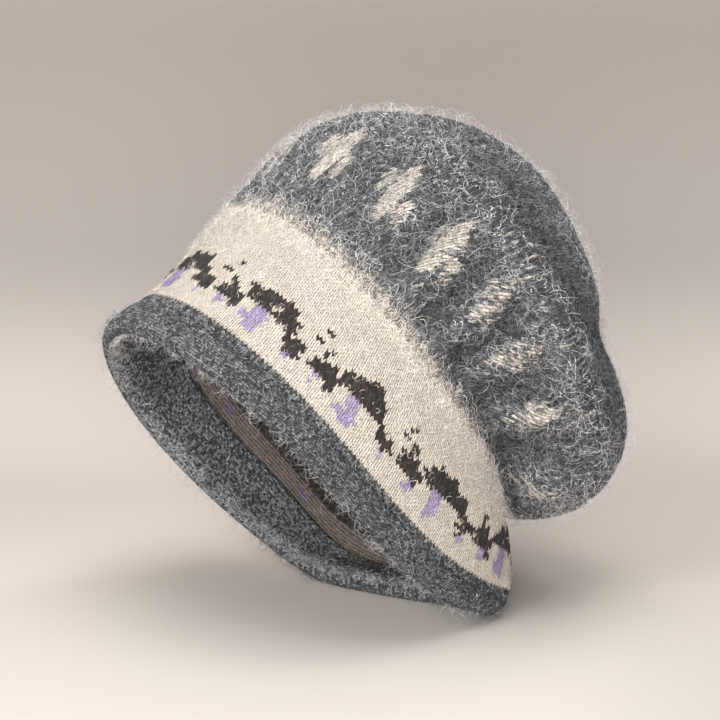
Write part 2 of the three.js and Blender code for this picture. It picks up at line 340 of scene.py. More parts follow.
# Crown motifs, a leaning leaf each. The near side follows the photograph, and the hidden
# side carries on at an even spacing.
LEAVES = [  # foot in chart letters from the rear, lean, v of the foot, width, how much shows
    (88.6, 2.0, 90.0, 1.25, 0.9),
    (99.3, 3.9, 89.0, 1.3, 0.9),
    (108.1, 4.1, 87.0, 1.1, 0.85),
    (115.7, 4.0, 91.0, 0.65, 0.52),
    (122.4, 3.4, 88.0, 0.6, 0.5),
    (131.0, 4.6, 86.0, 0.6, 0.55),
    (143.5, 2.2, 84.0, 0.75, 0.5),
] + [(3.0 + 9.5 * k, 3.2, 88.0, 1.0, 0.8) for k in range(9)]
LEAF_TIP = 128.0
SHOOTS = [  # distance from the axis, its drift with height, height, reach
    (1.9, -0.6, 0.50, 0.20),
    (-1.9, 0.8, 0.30, 0.17),
]
SHOOT_SHOW = 0.85


def leaf_mask(u, v):
    """How much of a leaf shows, 0 outside: a blade whose half width bulges in the middle, its
    axis leaning with v, and two short side shoots low on it."""
    u, around = u / CHART_COLUMN, WALES / CHART_COLUMN
    mask = np.zeros(np.broadcast(u, v).shape)
    for foot, lean, low, width, show in LEAVES:
        t = (v - low) / (LEAF_TIP - low)
        side = ((u - (foot - lean * t) + around / 2) % around - around / 2) / width
        blade = 0.25 + 0.75 * np.sin(np.pi * np.clip(t * 1.06 + 0.02, 0, 1))**0.8
        body = (smooth((blade - np.abs(side)) / 0.7 + 0.5)
                * smooth(t * 9 + 0.5) * smooth((1 - t) * 7))
        left, right = (smooth((0.5 - np.abs(side + off + drift * t)) / 0.5 + 0.5)
                       * smooth((reach - np.abs(t - middle)) * 12 + 0.5)
                       for off, drift, middle, reach in SHOOTS)
        mask = np.maximum(mask, show * np.maximum(body, SHOOT_SHOW * np.maximum(left, right)))
    return mask


# Meshes
def put_mesh(name, points, faces, uv=None, colours=None, masks=None):
    """A mesh object from arrays: points in millimetres, faces with 3 or 4 corners each, uv for
    every corner, and one colour (and mask, kept as the alpha) for every corner."""
    mesh = bpy.data.meshes.new(name)
    sides = faces.shape[1]
    mesh.vertices.add(len(points))
    mesh.vertices.foreach_set("co", (points * MM).astype(np.float32).ravel())
    mesh.loops.add(faces.size)
    mesh.loops.foreach_set("vertex_index", faces.astype(np.int32).ravel())
    mesh.polygons.add(len(faces))
    mesh.polygons.foreach_set("loop_start", np.arange(0, faces.size, sides, dtype=np.int32))
    mesh.update(calc_edges=True)
    if uv is not None:
        layer = mesh.uv_layers.new(name="knit")
        layer.data.foreach_set("uv", uv.astype(np.float32).ravel())
    if colours is not None:
        layer = mesh.color_attributes.new("yarn", "FLOAT_COLOR", "CORNER")
        alpha = np.ones(len(colours)) if masks is None else masks
        layer.data.foreach_set(
            "color", np.column_stack([colours, alpha]).astype(np.float32).ravel())
    mesh.polygons.foreach_set("use_smooth", np.ones(len(faces), bool))
    mesh.validate(clean_customdata=False)
    piece = bpy.data.objects.new(name, mesh)
    bpy.context.scene.collection.objects.link(piece)
    return piece


def ring_faces(columns, rows, closed_rows=False):
    """Quads between neighbouring rings of points, each ring closed on itself. Also gives, for
    every corner, its column (not wrapped) and its row (not wrapped)."""
    count = rows if closed_rows else rows - 1
    j, i = np.meshgrid(np.arange(count), np.arange(columns), indexing="ij")
    col = np.stack([i, i + 1, i + 1, i], -1).reshape(-1, 4)
    row = np.stack([j, j, j + 1, j + 1], -1).reshape(-1, 4)
    return (row % rows) * columns + col % columns, col, row


# Shader helper
class Value:
    """A node socket that takes arithmetic: each operator adds one Math node."""

    def __init__(self, tree, socket):
        self.tree, self.socket = tree, socket

    def math(self, operation, *others):
        """The result of a Math node on this value and the others."""
        sockets = dict(enumerate((self,) + others))
        return self.tree.add("ShaderNodeMath", {"operation": operation}, sockets).value()

    def __add__(self, other): return self.math("ADD", other)
    def __radd__(self, other): return self.math("ADD", other)
    def __sub__(self, other): return self.math("SUBTRACT", other)
    def __mul__(self, other): return self.math("MULTIPLY", other)
    def __rmul__(self, other): return self.math("MULTIPLY", other)
    def __pow__(self, other): return self.math("POWER", other)

    def __rsub__(self, number):
        return self.tree.add("ShaderNodeMath", {"operation": "SUBTRACT"},
                             {0: number, 1: self}).value()

    def fract(self): return self.math("FRACT")
    def floor(self): return self.math("FLOOR")
    def abs(self): return self.math("ABSOLUTE")
    def most(self, other): return self.math("MAXIMUM", other)
    def clamp(self): return self.math("MAXIMUM", 0.0).math("MINIMUM", 1.0)

    def smooth(self, low, high):
        """Smooth step from low to high."""
        return self.tree.add("ShaderNodeMapRange", {"interpolation_type": "SMOOTHSTEP"},
                             {"Value": self, "From Min": low, "From Max": high}).value()


class Node:
    """One node of a tree, with its outputs by name."""

    def __init__(self, tree, node):
        self.tree, self.node = tree, node

    def value(self, name=0):
        """An output, ready for arithmetic."""
        return Value(self.tree, self.node.outputs[name])

    def __getitem__(self, name):
        return self.node.outputs[name]


class Finish:
    """A node material that nodes are added to by type, settings and socket values."""

    def __init__(self, name):
        self.material = bpy.data.materials.new(name)
        self.material.use_nodes = True
        self.nodes, self.links = self.material.node_tree.nodes, self.material.node_tree.links
        self.nodes.clear()

    def add(self, kind, settings=None, sockets=None):
        """A node of a kind, with its settings set first and then its sockets linked or set."""
        node = self.nodes.new(kind)
        for key, setting in (settings or {}).items():
            setattr(node, key, setting)
        for key, value in (sockets or {}).items():
            socket = node.inputs[key]
            if isinstance(value, Value):
                self.links.new(value.socket, socket)
            elif isinstance(value, bpy.types.NodeSocket):
                self.links.new(value, socket)
            else:
                socket.default_value = value
        return Node(self, node)

    def mix(self, factor, a, b, blend="MIX"):
        """Colour mix of a and b, either of them a socket or a colour."""
        a, b = (c if isinstance(c, bpy.types.NodeSocket) else (*c, 1) for c in (a, b))
        return self.add("ShaderNodeMix", {"data_type": "RGBA", "blend_type": blend},
                        {0: factor, 6: a, 7: b})[2]

    def vector(self, x, y):
        """A flat vector from two values."""
        return self.add("ShaderNodeCombineXYZ", None, {0: x, 1: y})[0]

    def scaled(self, colour, factor):
        """A colour times a value."""
        return self.add("ShaderNodeVectorMath", {"operation": "SCALE"},
                        {0: colour, "Scale": factor})[0]

    def output(self, shader):
        """Ends the tree on a shader and gives the material."""
        self.add("ShaderNodeOutputMaterial", None, {"Surface": shader})
        return self.material

    def shade(self, sockets):
        """Ends the tree on one Principled shader with these sockets."""
        return self.output(self.add("ShaderNodeBsdfPrincipled", None, sockets)["BSDF"])


DARK_GAP_SHADE, PALE_GAP_SHADE = (0.14, 0.14, 0.15), (0.30, 0.20, 0.14)   # painted shade in the gaps between the legs, on dark and on pale yarn
HAIR_SETS = [  # noise scale, how thin the hairs are, shift of the noise
    (260.0, 17.0, 0.0),
    (390.0, 13.0, 0.37),
    (560.0, 11.0, 0.71),
]
KNIT_RELIEF = 0.0011                                          # metres


def knit_finish(name, fleck, flecks, hair_colour, hair_dark, hair_pale):
    """Knitted yarn. In the piece's knit coordinates a stitch is 1 wide and 1 high, and its two
    legs are the halves: a leg is half an ellipsoid, height = root of (1 - across squared -
    along squared), a little longer than its row. The mask in the yarn attribute's alpha turns
    legs into short purl dashes, each row half a dash aside. Colour is the yarn's own, darker
    in the gaps between the legs as painted shade, flecked leg by leg, streaked along the yarn,
    with loose hairs drawn where a noise passes its middle value, as strong as hair_dark on
    dark yarn and hair_pale on pale."""
    f = Finish(name)
    uv = f.add("ShaderNodeUVMap", {"uv_map": "knit"})
    spot = f.add("ShaderNodeTexCoord")

    def noise_2d(vector, scale, detail, **more):
        """A flat noise at a vector."""
        return f.add("ShaderNodeTexNoise", {"noise_dimensions": "2D"},
                     {"Vector": vector, "Scale": scale, "Detail": detail, **more})

    wobble = noise_2d(uv["UV"], 0.9, 2.0)
    split = f.add("ShaderNodeSeparateXYZ", None, {0: uv["UV"]})
    drift = f.add("ShaderNodeSeparateXYZ", None, {0: wobble["Color"]})
    u = split.value("X") + (drift.value("X") - 0.5) * 0.45
    v = split.value("Y") + (drift.value("Y") - 0.5) * 0.7
    yarn = f.add("ShaderNodeAttribute", {"attribute_name": "yarn"})
    purl = yarn.value("Alpha")
    paleness = f.add("ShaderNodeRGBToBW", None, {"Color": yarn["Color"]}).value()
    pale = paleness.smooth(0.15, 0.5)

    leg, row = u * 2.0, v.floor()
    x, y = leg.fract() - 0.5, v.fract() - 0.5
    plain = (1.0 - (x * 2.0) ** 2.0 - (y * 1.5) ** 2.0).clamp() ** 0.5
    dash_x = (leg + (row * 0.5).fract()).fract() - 0.5
    dash = (1.0 - (dash_x * 1.9) ** 2.0 - (y * 2.1) ** 2.0).clamp() ** 0.5
    height = plain * (1.0 - purl) + dash * purl

    cell = f.vector(leg.floor() * 1.37, row * 2.11)
    random = f.add("ShaderNodeTexWhiteNoise", {"noise_dimensions": "2D"},
                   {"Vector": cell}).value("Value")
    strands = noise_2d(f.vector(u * 16.0, v * 3.5), 1.0, 3.0, Roughness=0.7).value()
    patches = noise_2d(uv["UV"], 0.09, 3.0).value()

    def curls(scale, thin, shift):
        """Thin closed curls: 1 where a smooth noise is close to its middle value."""
        place = f.add("ShaderNodeVectorMath", {"operation": "ADD"},
                      {0: spot["Object"], 1: (shift, shift * 2, -shift)})
        noise = f.add("ShaderNodeTexNoise", None, {"Vector": place[0], "Scale": scale,
                                                   "Detail": 0.6, "Distortion": 0.8})
        return (1.0 - (noise.value() - 0.5).abs() * thin).clamp()

    coarse, middle, fine = (curls(*values) for values in HAIR_SETS)
    hairs = coarse.most(middle).most(fine)
    hair = pale * (hair_pale - hair_dark) + hair_dark

    gap = height.smooth(0.0, 0.75)
    # Painted shade: the yarn's colour is multiplied darker down in the gaps between the legs.
    between = f.mix(pale, DARK_GAP_SHADE, PALE_GAP_SHADE)
    base = f.mix(1.0 - gap, yarn["Color"], between, "MULTIPLY")
    light = ((random - 0.5) * fleck + (strands - 0.5) * (fleck * 0.9 + 0.45)
             + (patches - 0.5) * (fleck * 0.6 + 0.1))
    toned = f.scaled(base, (light + 1.0).most(0.12))
    bright = (random * 0.45 + strands * 0.9).smooth(0.60, 0.88) * gap * (1.0 - pale)
    flecked = f.mix(bright * flecks, toned, hair_colour)
    hazed = f.mix(hairs * hair * (patches * 1.4 + 0.3), flecked, hair_colour)
    bump = f.add("ShaderNodeBump", None, {"Strength": 1.0, "Distance": KNIT_RELIEF,
                                          "Height": height + strands * 0.45 + hairs * 0.3})
    return f.shade({"Base Color": hazed, "Roughness": 0.9, "Normal": bump["Normal"],
                    "Specular IOR Level": 0.15, "Sheen Weight": 0.12,
                    "Sheen Roughness": 0.5, "Sheen Tint": (1.0, 0.98, 0.95, 1.0)})


def fibre_finish():
    """Loose mohair: the fibre's own colour from its attribute, soft and matte."""
    f = Finish("mohair_fibres")
    yarn = f.add("ShaderNodeAttribute", {"attribute_name": "yarn"})
    spot = f.add("ShaderNodeTexCoord")
    tone = f.add("ShaderNodeTexNoise", None,
                 {"Vector": spot["Object"], "Scale": 420.0, "Detail": 1.0}).value()
    colour = f.scaled(yarn["Color"], tone * 0.4 + 0.8)
    return f.shade({"Base Color": colour, "Roughness": 0.75, "Specular IOR Level": 0.25,
                    "Sheen Weight": 0.3, "Sheen Roughness": 0.5})


GREY_KNIT = knit_finish("grey_marl_knit", 0.8, 0.85, (0.52, 0.54, 0.56), 0.14, 0.14)
CREAM_KNIT = knit_finish("cream_knit", 0.25, 0.07, (0.97, 0.93, 0.86), 0.02, 0.30)
FUZZY_KNIT = knit_finish("fuzzy_grey_knit", 1.0, 0.35, (0.48, 0.49, 0.51), 0.22, 0.28)
MOHAIR = fibre_finish()


def dress(piece, finish, node=None):
    """Gives a piece its finish and its body, and lets it stand for its node."""
    piece.data.materials.append(finish)
    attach(piece, "root")
    if node:
        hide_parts(node)
    return piece


# Hem
HEM_LOOP = np.array([  # v, n: outside leg with its rolled part, bottom fold, inner facing, step
    (18.95, 2.75), (17.0, 2.25), (15.4, 2.3), (13.8, 3.5), (10.6, 4.0), (6.8, 4.1),
    (3.4, 3.6), (1.2, 2.4), (0.1, 0.5), (0.2, -1.2), (1.4, -2.6), (4.0, -3.3),
    (9.0, -3.6), (15.0, -3.5), (20.5, -3.3), (26.0, -3.1), (30.2, -2.9), (31.2, -1.9),
    (30.2, -0.9), (24.5, -0.9), (18.95, -1.25),
])


HEM_ROW = 1.2                       # height of a purl row on the hem
HEM_RIPPLE = 0.28                   # how far its purl bumps stand out
STRIP_FROM, STRIP_FULL = 16.2, 2.4  # v where the smooth strip under the cream begins, its rise
STRIP_V = 14.9                      # v above which the outside is knitted plain
# Colour factors of the hem: the strip under the cream darker, the roll the yarn's own, and painted
# shade on the facing inside the hat.
STRIP_SHADE, ROLL_SHADE, FACING_PAINTED_SHADE = 0.72, 1.0, 0.55
FACING_PURL = 0.6


def soft_loop(points, per_step):
    """A closed smooth curve through the points: on each step the cubic whose slope at a point
    is half the way between its neighbours."""
    p0, p1 = np.roll(points, 1, 0), points
    p2, p3 = np.roll(points, -1, 0), np.roll(points, -2, 0)
    t = (np.arange(per_step) / per_step)[None, :, None]
    p0, p1, p2, p3 = (p[:, None, :] for p in (p0, p1, p2, p3))
    curve = 0.5 * (2 * p1 + (p2 - p0) * t + (2 * p0 - 5 * p1 + 4 * p2 - p3) * t**2
                   + (3 * p1 - p0 - 3 * p2 + p3) * t**3)
    return curve.reshape(-1, 2)


def knit_hem():
    """The hem: its section loop carried round the hat. The stitches are plain on the narrow
    strip under the cream, purl dashes on the roll and inside."""
    columns = WALES * 2
    loop = soft_loop(HEM_LOOP, 3)
    rows = len(loop)
    lengths = np.linalg.norm(np.diff(np.vstack([loop, loop[:1]]), axis=0), axis=1)
    run = np.concatenate([[0], np.cumsum(lengths)]) / HEM_ROW
    u = np.arange(columns) / 2
    v, n = loop[:, 0][:, None], loop[:, 1][:, None]
    top = smooth((loop[:, 0] - STRIP_FROM) / STRIP_FULL) * (loop[:, 1] > 1.5)
    lift = zigzag(u)[None, :] * ROW * top[:, None]
    aside = 0.5 * (np.arange(rows)[:, None] % 2)
    ripple = HEM_RIPPLE * np.cos(2 * np.pi * (u[None, :] + aside))
    points = wall(turn_of(u)[None, :], v + lift, n + ripple * (1 - top[:, None]))
    faces, col, row = ring_faces(columns, rows, closed_rows=True)
    uv = np.stack([col / 2, run[row]], -1).reshape(-1, 2)
    step = np.repeat(row[:, :1], 4, 1).ravel()
    outside = loop[step, 1] > 0
    strip = outside & (loop[step, 0] > STRIP_V)
    purl = np.where(strip, 0.0, np.where(outside, 1.0, FACING_PURL))
    # Painted shade darkens the facing inside the hat; the strip under the cream is darker too.
    shade = np.where(strip, STRIP_SHADE, np.where(outside, ROLL_SHADE, FACING_PAINTED_SHADE))
    uv = uv.reshape(-1, 4, 2)[:, ::-1].reshape(-1, 2)
    return put_mesh("knit_hem", points.reshape(-1, 3), faces[:, ::-1], uv,
                    GREY * shade[:, None], purl)


# Band
BAND_FOOT, BAND_EDGE = 18.2, 1.4     # v of the band's lowest edge, and how far its top edge rounds
INNER_STEP = 1.5                     # rows between the rings of the reverse
STRAY, STRAY_SEED = 0.7, 12          # how far the colourwork's edges stray, in letters
DOT_EVERY, DOT_WALES, DOT_ROWS = 24, 3, (8, 12)   # lilac dots on the reverse
# Painted shade on the lilac dots inside the hat.
DOT_PAINTED_SHADE = 0.7


def knit_band():
    """The band: rows of stitches up the outside whose mesh rows follow the legs, over the top
    edge, and down the inside, where the reverse shows purl dashes and the floats."""
    columns = WALES * 2
    u = np.arange(columns) / 2
    up = np.arange(0, BAND_ROWS + 0.01)
    down = np.arange(BAND_ROWS - 0.5, 0, -INNER_STEP)
    rows = np.concatenate([up, down])
    outside = np.concatenate([np.ones(len(up)), np.zeros(len(down))])[:, None]
    v = BAND_FROM + ROW * (rows[:, None] + zigzag(u)[None, :] * outside)
    v = np.clip(v, BAND_FOOT, BAND_TO + BAND_EDGE)
    n = np.where(outside > 0, WALL_OUT, BAND_IN) + 0 * v
    points = wall(turn_of(u)[None, :], v, n)
    faces, col, row = ring_faces(columns, len(rows), closed_rows=True)
    along = np.append(rows, rows[0] - 0.4)
    uv = np.stack([col / 2, along[row]], -1)
    lowest = np.minimum(along[row[:, 0]], along[row[:, 2]])
    wale = (col[:, 0] // 2) % WALES
    stitch = np.floor(lowest + 1e-6).astype(int)
    inner = row[:, 0] >= len(up) - 1
    strays = np.random.default_rng(STRAY_SEED).random((WALES, BAND_ROWS + 2))
    stray = STRAY * (strays[wale, np.clip(stitch, 0, BAND_ROWS + 1)] - 0.5)
    colour = band_colours(wale, stitch, stray)
    floating = (stitch >= FLOATS[0]) & (stitch < FLOATS[1])
    # Inside the hat the cream and the lilac dots carry painted shade; the dark floats keep their
    # own colour.
    reverse = np.where(floating[:, None], DARK_BROWN, CREAM_INSIDE_PAINTED_SHADE)
    dots = ((np.mod(wale, DOT_EVERY) // DOT_WALES == 1)
            & (stitch > DOT_ROWS[0]) & (stitch < DOT_ROWS[1]))
    reverse[dots] = LILAC * DOT_PAINTED_SHADE
    colour = np.where(inner[:, None], reverse, colour)
    masks = np.where(inner, 1.0, 0.0)
    return put_mesh("knit_band", points.reshape(-1, 3), faces, uv.reshape(-1, 2),
                    np.repeat(colour, 4, 0), np.repeat(masks, 4))


# Crown
CROWN_TO, CROWN_STEP = 246.0, 2.0     # v of the gathered centre, and of a row of faces
DECREASES = [(163.0, 1.0), (187.0, 0.7), (205.0, 0.47), (222.0, 0.28),
             (260.0, 0.14)]           # up to this v, share of the columns
PLAIN_V, PLAIN_SPAN = 165, 30         # v where the rows lose their zigzag, over this many mm
LEAF_SEED, CELL_NOISE, STREAK_NOISE, LEAF_EDGE = 11, 0.6, 0.5, 1.7
CREAM_LEAK, LEAK_SPAN, LEAK_NOISE = 0.6, 8, 5     # cream carried past the band's top edge
# Painted shade on the crown's inner skin and rim.
INNER_PAINTED_SHADE = 0.7


def knit_crown():
    """The crown: rows of stitches from the band to the gathered centre outside, and a coarser
    skin inside, joined at the rim and closed at both centres. Gives the points, the outer and
    the inner quads with their column and row, the v of each ring, the rim's quads and the
    centres' triangles."""
    columns = WALES * 2
    u = np.arange(columns) / 2
    count = int((CROWN_TO - BAND_TO) / CROWN_STEP)
    out_v = BAND_TO + CROWN_STEP * np.arange(count + 1)
    fade = (1 - smooth((out_v - PLAIN_V) / PLAIN_SPAN))[:, None]
    zigzag_v = out_v[:, None] + ROW * zigzag(u)[None, :] * fade
    inner_v = np.concatenate([np.arange(BAND_TO + 1.0, 100, 4.0),
                              np.arange(100, CROWN_TO, 5.0)])[::-1]
    turns = turn_of(u)[None, :]
    outer = wall(turns, zigzag_v, np.full(zigzag_v.shape, WALL_OUT))
    inner = wall(turns, inner_v[:, None] + 0 * turns, CROWN_IN)
    faces, col, row = ring_faces(columns, len(out_v))
    faces2, col2, row2 = ring_faces(columns, len(inner_v))
    first = outer.shape[0] * columns
    rim_b = np.arange(columns)
    rim_a = rim_b + first + (len(inner_v) - 1) * columns
    rim = np.stack([rim_a, np.roll(rim_a, -1), np.roll(rim_b, -1), rim_b], -1)
    points = np.concatenate([outer.reshape(-1, 3), inner.reshape(-1, 3),
                             outer[-1].mean(0)[None], inner[0].mean(0)[None]])
    top, under = len(points) - 2, len(points) - 1
    last = (len(out_v) - 1) * columns + np.arange(columns)
    nearest = first + np.arange(columns)
    caps = np.concatenate([
        np.stack([last, np.roll(last, -1), np.full(columns, top)], -1),
        np.stack([np.roll(nearest, -1), nearest, np.full(columns, under)], -1)])
    return points, (faces, col, row, out_v), (faces2 + first, col2, row2, inner_v), rim, caps


def crown_piece():
    """Joins the crown's skins into one mesh of triangles with knit coordinates and colours."""
    points, (faces, col, row, out_v), (faces2, col2, row2, inner_v), rim, caps = knit_crown()
    share_v = np.array([0.0] + [v for v, _ in DECREASES])
    shares = np.array([share for _, share in DECREASES])
    v_mid = out_v[row[:, 0]] + CROWN_STEP / 2
    share = shares[np.clip(np.searchsorted(share_v, v_mid) - 1, 0, len(shares) - 1)][:, None]
    uv_out = np.stack([col / 2 * share, row * CROWN_STEP / ROW], -1)
    uv_in = np.stack([col2 / 2, inner_v[row2] / ROW], -1)
    wale = col[:, 0] / 2 + 0.25
    mask = leaf_mask(wale, v_mid)
    seeded = np.random.default_rng(LEAF_SEED)
    column = col[:, 0] % (WALES * 2)
    cell = seeded.random((WALES * 2, len(out_v)))[column, row[:, 0]]
    streak = seeded.random(WALES * 2)[column]
    mask = smooth((mask - 0.5 + (cell - 0.5) * CELL_NOISE + (streak - 0.5) * STREAK_NOISE)
                  * LEAF_EDGE + 0.5)[:, None]
    turn_mid = turn_of(wale)
    leak = 1 - smooth((v_mid - BAND_TO + LEAK_NOISE * (cell - 0.5)) / LEAK_SPAN)
    mask = np.maximum(mask, CREAM_LEAK * leak[:, None])
    # Painted shade and highlight: the crown's colour is darker in its folds and paler on its
    # ridges.
    tone = painted_fold_shading(turn_mid, v_mid)[:, None]
    colour = (GREY * (1 - mask) + MOTIF_CREAM * mask) * tone

    rest = len(faces2) + len(rim)
    halves = [0, 1, 2, 0, 2, 3]
    tris = np.concatenate([np.concatenate([faces, faces2, rim])[:, halves].reshape(-1, 3), caps])
    uv = np.concatenate([uv_out, uv_in, np.zeros((len(rim), 4, 2))])[:, halves].reshape(-1, 2)
    uv = np.concatenate([uv, np.zeros((caps.size, 2))])
    # The inner skin and the rim: grey darkened as painted shade.
    colours = np.concatenate([colour, np.tile(GREY_DEEP * INNER_PAINTED_SHADE, (rest, 1))])
    colours = np.concatenate([np.repeat(colours, 6, 0), np.tile(GREY, (caps.size, 1))])
    masks = np.repeat(np.concatenate([np.zeros(len(faces)), np.ones(rest)]), 6)
    masks = np.concatenate([masks, np.ones(caps.size)])
    return put_mesh("knit_crown", points, tris, uv, colours, masks)


dress(knit_hem(), GREY_KNIT, "brim_hem")
dress(knit_band(), CREAM_KNIT, "pattern_band")
dress(crown_piece(), FUZZY_KNIT, "slouch_crown")


# Loose mohair fibres
SPARE = 4                        # roots tried for each fibre kept
TIP_FALL = 1.9                   # pitch lost from root to tip, as a share of the pitch
FACING_NOISE, TAPER = 0.7, 0.6   # how far ribbons turn at random, how much they thin out


def fibres(name, count, seed, v_range, n, style, width, tint, slot, steps):
    """Curly fibres as narrow ribbons, all in one mesh. A root is picked evenly over the cloth
    between two values of v. The fibre sets off at a pitch above the cloth, which falls evenly
    to a little below its opposite, while its heading in the cloth turns evenly by a yaw, so it
    makes a loop that rises and comes back: each point is the sum of the steps before it."""
    lengths, pitches, yaws = style
    rng = np.random.default_rng(seed)
    tries = rng.random((count * SPARE, 3))
    u, v = tries[:, 0] * WALES, v_range[0] + tries[:, 1] * (v_range[1] - v_range[0])
    turn = turn_of(u)
    ring = np.interp(v, TABLE_V, TABLE[:, 5]) + np.interp(v, TABLE_V, TABLE[:, 6])
    keep = tries[:, 2] < ring / ring.max()
    u, v, turn = u[keep][:count], v[keep][:count], turn[keep][:count]
    count = len(u)
    height = n(v) if callable(n) else np.full(count, float(n))
    root = wall(turn, v, height)
    up = normal_of(cloth, turn, v) * np.sign(height + 1e-3)[:, None]
    side = unit(wall(turn + 0.5, v, height) - root)
    fore = np.cross(up, side)

    def between(pair, power=1.0):
        """A number for each fibre between the two of the pair, nearer the first with power."""
        return (pair[0] + (pair[1] - pair[0]) * rng.random(count)**power)[:, None]

    length, pitch, yaw = between(lengths, 1.5), between(pitches), between(yaws)
    yaw = yaw * np.where(rng.random((count, 1)) < 0.5, -1, 1)
    t = (np.arange(steps) + 0.5)[None, :] / steps
    heading = rng.random((count, 1)) * 2 * np.pi + yaw * (t - 0.3)
    tip = pitch * (1 - TIP_FALL * t)
    step = (side[:, None] * (np.cos(heading) * np.cos(tip))[..., None]
            + fore[:, None] * (np.sin(heading) * np.cos(tip))[..., None]
            + up[:, None] * np.sin(tip)[..., None])
    step = step * (length / steps)[..., None]
    points = root[:, None] + np.concatenate([np.zeros((count, 1, 3)), np.cumsum(step, 1)], 1)
    tangent = unit(np.gradient(points, axis=1))
    facing = unit(up[:, None] + FACING_NOISE * rng.normal(size=(count, 1, 3)))
    taper = 1 - TAPER * np.linspace(0, 1, steps + 1)[None, :]
    across = unit(np.cross(tangent, facing)) * (width / 2 * taper)[..., None]
    strip = np.stack([points - across, points + across], 2).reshape(-1, 3)
    strip[:, 2] = np.maximum(strip[:, 2], FIBRE_CLEARANCE)
    base = np.arange(count)[:, None] * 2 * (steps + 1) + 2 * np.arange(steps)[None, :]
    faces = np.stack([base, base + 1, base + 3, base + 2], -1).reshape(-1, 4)
    colours = tint(u, v, rng.random(count), rng.random(count))
    return dress(put_mesh(name, strip, faces, None, np.repeat(colours, steps * 4, 0)),
                 MOHAIR)


WHITE_FIBRE, SILVER_FIBRE = linear(236, 235, 234), linear(178, 180, 184)
GREY_FIBRE, DARK_FIBRE = linear(112, 115, 120), linear(48, 50, 55)
LEAF_FIBRE, LEAF_SHADE = linear(246, 236, 222), linear(206, 196, 184)
CREAM_FIBRE, CREAM_SHADE, SEAM_CREAM = (linear(252, 245, 234), linear(232, 216, 198),
                                        linear(248, 238, 224))
LEAF_SHADING_CAP = 0.92     # painted fold shade and highlight on a leaf's fibres never rises past this factor


def pick(values, *steps):
    """Colour by a random number: (upper bound, colour) pairs."""
    out = np.empty((len(values), 3))
    low = 0.0
    for high, colour in steps:
        out[(values >= low) & (values < high)] = colour
        low = high
    return out


def crown_tint(u, v, a, b):
    """Silver and white over dark grey, and cream where the fibre springs from a leaf or close to
    the band, with painted fold shade and highlight: fewer pale fibres and darker colours in the
    folds, more pale fibres and paler colours on the ridges."""
    tone = painted_fold_shading(turn_of(u), v)
    colours = pick(np.minimum(a / tone, 1), (0.11, WHITE_FIBRE), (0.30, SILVER_FIBRE),
                   (0.46, GREY_FIBRE), (1.01, DARK_FIBRE))
    leaf = (leaf_mask(u, v) > 0.15 + 0.6 * b) | (v < BAND_TO + 9 * b - 1)
    colours[leaf] = pick(a[leaf], (0.45, LEAF_FIBRE), (0.7, LEAF_SHADE), (1.01, GREY_FIBRE))
    return colours * np.where(leaf, np.minimum(tone, LEAF_SHADING_CAP), tone)[:, None]


def band_tint(u, v, a, b):
    """Warm white over cream, the yarn's own colour over the colourwork."""
    colours = pick(a, (0.7, CREAM_FIBRE), (1.01, CREAM_SHADE))
    wale = np.floor(u).astype(int) % WALES
    row = np.floor((v - BAND_FROM) / ROW - zigzag(u)).astype(int)
    own = band_colours(wale, row)
    work = (np.abs(own - CREAM).sum(1) > 0.05) & (b < 0.9)
    colours[work] = own[work] * (0.8 + 1.6 * a[work]**2)[:, None]
    return colours


def hem_tint(u, v, a, b):
    """Silver flecks over grey."""
    return pick(a, (0.12, WHITE_FIBRE), (0.36, SILVER_FIBRE), (0.58, GREY_FIBRE),
                (1.01, DARK_FIBRE))


def pale_painted_backlight_tint(u, v, a, b):
    """The pale halo: white and silver fibres whose paleness is partly the mohair's own colour and
    partly painted backlight, darker in the folds and paler on the ridges as painted shade and
    highlight.
    """
    colours = pick(a, (0.8, WHITE_FIBRE), (1.01, SILVER_FIBRE))
    return colours * painted_fold_shading(turn_of(u), v)[:, None]


def seam_tint(u, v, a, b):
    """Where band and crown meet: cream low down, grey higher up, mixed between."""
    cream = v + 10 * (b - 0.5) < BAND_TO + 4
    grey = pick(a, (0.3, SILVER_FIBRE), (0.5, GREY_FIBRE), (1.01, DARK_FIBRE))
    return np.where(cream[:, None], SEAM_CREAM, grey)


def reverse_tint(u, v, a, b):
    """The fuzz of the band's reverse, its cream darkened as painted shade."""
    dark = (v > BAND_FROM + ROW * FLOATS[0]) & (b < 0.8)
    pale = pick(a, (0.5, CREAM_INSIDE_PAINTED_SHADE), (1.01, CREAM_INSIDE_PAINTED_SHADE * 0.7))
    return np.where(dark[:, None], DARK_BROWN, pale)


def hem_outside(v):
    """How far the hem's outside stands off the cloth."""
    return np.interp(v, [0, 1.2, 3.4, 7, 11, 13.8, 15.4, 18],
                     [1.3, 2.3, 3.5, 4.0, 3.9, 3.4, 2.3, 2.3])


SHARE = 1.0
